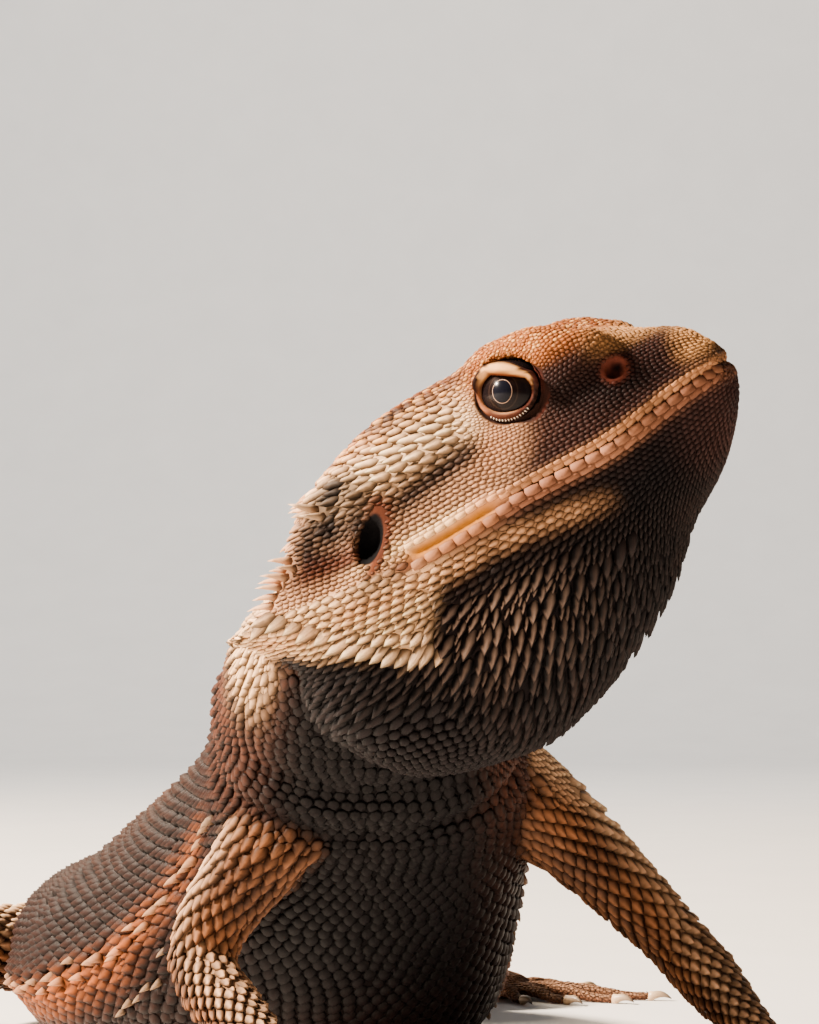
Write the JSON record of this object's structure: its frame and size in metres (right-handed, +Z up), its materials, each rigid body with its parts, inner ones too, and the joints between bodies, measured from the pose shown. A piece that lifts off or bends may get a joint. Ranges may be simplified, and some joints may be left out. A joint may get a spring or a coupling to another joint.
{
  "type": "bearded dragon",
  "caption": "Still life-size lizard lying on its belly, chest propped on spread forelegs, head raised and turned, dark spiny beard puffed out.",
  "frame": {"origin": "on the floor, at the middle of the flat of the belly", "axes": "+Z up; -Y the way the trunk faces, so the tail runs towards +Y; +X is the animal's left"},
  "size_m": [0.169, 0.3919, 0.0968],
  "materials": {
    "skin": "matte",
    "beard": "matte",
    "eye": "wet gloss",
    "claw": "satin horn"
  },
  "bodies": {
    "root": {"claw_foot_left_toe_1": "claw", "claw_foot_left_toe_2": "claw", "claw_foot_left_toe_3": "claw", "claw_foot_left_toe_4": "claw", "claw_foot_left_toe_5": "claw", "claw_foot_right_toe_1": "claw", "claw_foot_right_toe_2": "claw", "claw_foot_right_toe_3": "claw", "claw_foot_right_toe_4": "claw", "claw_foot_right_toe_5": "claw", "claw_hand_left_toe_1": "claw", "claw_hand_left_toe_2": "claw", "claw_hand_left_toe_3": "claw", "claw_hand_left_toe_4": "claw", "claw_hand_left_toe_5": "claw", "claw_hand_right_toe_1": "claw", "claw_hand_right_toe_2": "claw", "claw_hand_right_toe_3": "claw", "claw_hand_right_toe_4": "claw", "claw_hand_right_toe_5": "claw", "eye_left": "eye", "eye_right": "eye", "foot_left": "skin", "foot_right": "skin", "forearm_left": "skin", "forearm_right": "skin", "hand_left": "skin", "hand_right": "skin", "head": "skin", "jaw_and_beard": "beard", "neck": "skin", "shank_left": "skin", "shank_right": "skin", "tail_1": "skin", "tail_2": "skin", "tail_3": "skin", "tail_4": "skin", "thigh_left": "skin", "thigh_right": "skin", "trunk": "skin", "upper_arm_left": "skin", "upper_arm_right": "skin"}
  },
  "joints": []
}
